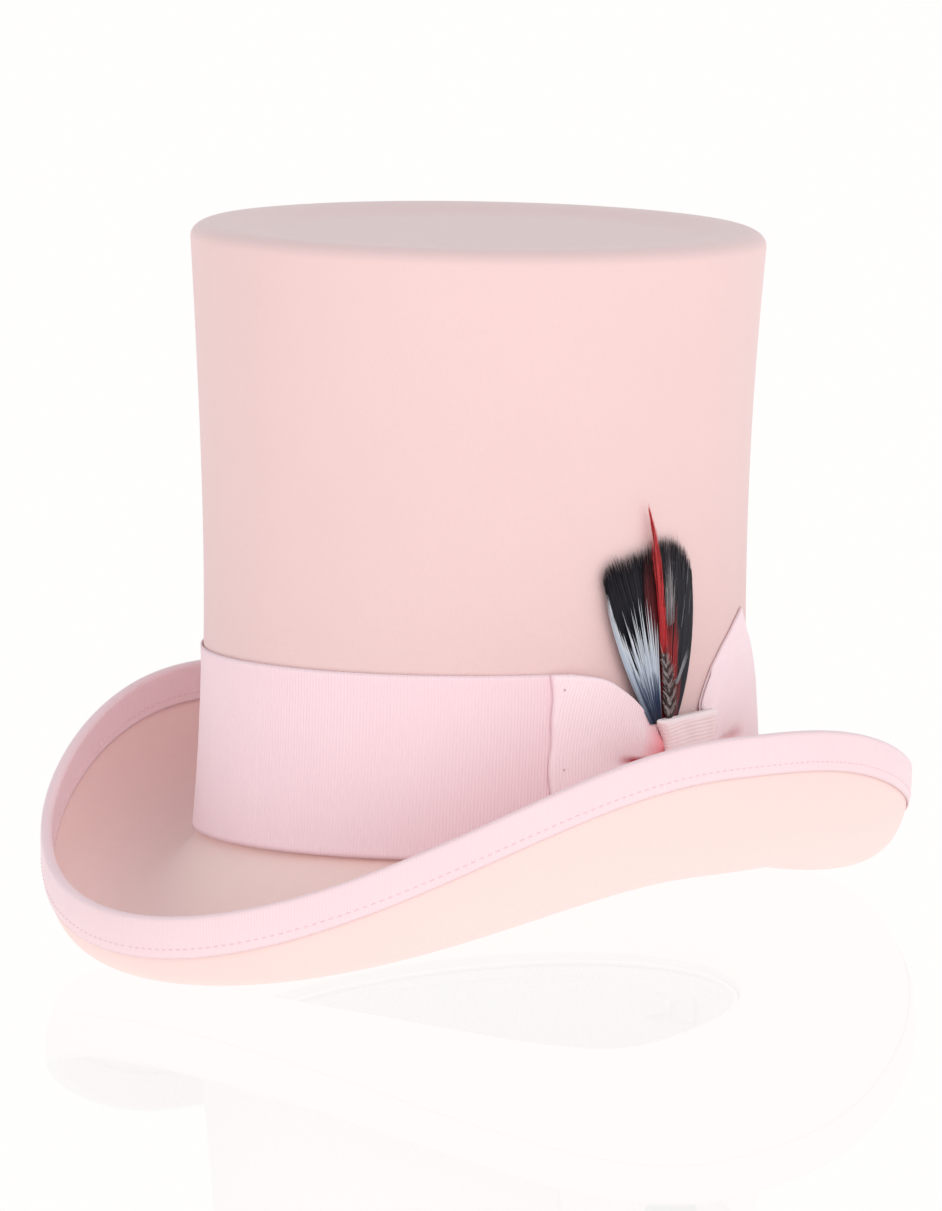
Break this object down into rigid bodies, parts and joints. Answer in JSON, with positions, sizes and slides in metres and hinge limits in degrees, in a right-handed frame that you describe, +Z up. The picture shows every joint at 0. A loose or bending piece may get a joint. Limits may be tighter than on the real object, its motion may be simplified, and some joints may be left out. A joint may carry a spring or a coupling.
{
  "type": "top hat",
  "caption": "Tall flared top hat in felt with a curled bound brim, wide ribbon band, flat side bow and a removable bunch of feathers.",
  "frame": {"origin": "centre of the hat's bounding box in plan, on the surface that the brim stands on", "axes": "+Z up; the front of the hat is -Y and the wearer's left, with the bow, is +X; the longest side, front to back, is Y"},
  "size_m": [0.2628, 0.3304, 0.2455],
  "materials": {
    "felt": "matt wool felt, brushed",
    "binding_ribbon": "fine grosgrain, soft sheen",
    "band_ribbon": "ribbed grosgrain, soft sheen",
    "pink_thread": "polyester thread",
    "sweatband_ribbon": "ribbed sweatband tape",
    "reed_cord": "satin",
    "satin_bow": "satin",
    "satin_lining": "satin",
    "black_feather": "blue-black feather, satin",
    "pale_feather": "downy feather",
    "red_feather": "dyed feather, satin",
    "white_feather": "downy feather",
    "barred_feather": "barred feather",
    "black_thread": "waxed thread",
    "steel_pin": "drawn wire"
  },
  "bodies": {
    "hat": {"crown_felt": "felt", "brim_felt": "felt", "brim_binding": "binding_ribbon", "binding_thread_outside": "pink_thread", "binding_thread_inside": "pink_thread", "hatband": "band_ribbon", "bow_front_wing": "band_ribbon", "bow_rear_wing": "band_ribbon", "bow_knot": "band_ribbon", "bow_tack_stitches": "pink_thread", "sweatband": "sweatband_ribbon", "sweatband_reed": "reed_cord", "sweatband_thread": "pink_thread", "sweatband_bow": "satin_bow", "lining_side": "satin_lining", "lining_tip": "satin_lining"},
    "feather_bunch": {"black_feather_front": "black_feather", "black_feather_rear": "black_feather", "pale_hackle": "pale_feather", "red_spike": "red_feather", "red_hackle": "red_feather", "white_wisp": "white_feather", "grizzly_feather": "barred_feather", "feather_thread_wrap": "black_thread", "feather_pin": "steel_pin"}
  },
  "joints": [
    {"name": "feather_slide", "type": "slide", "parent": "hat", "child": "feather_bunch", "axis": [0, 0.0541, 0.9985], "range_m": [0, 0.035]}
  ]
}
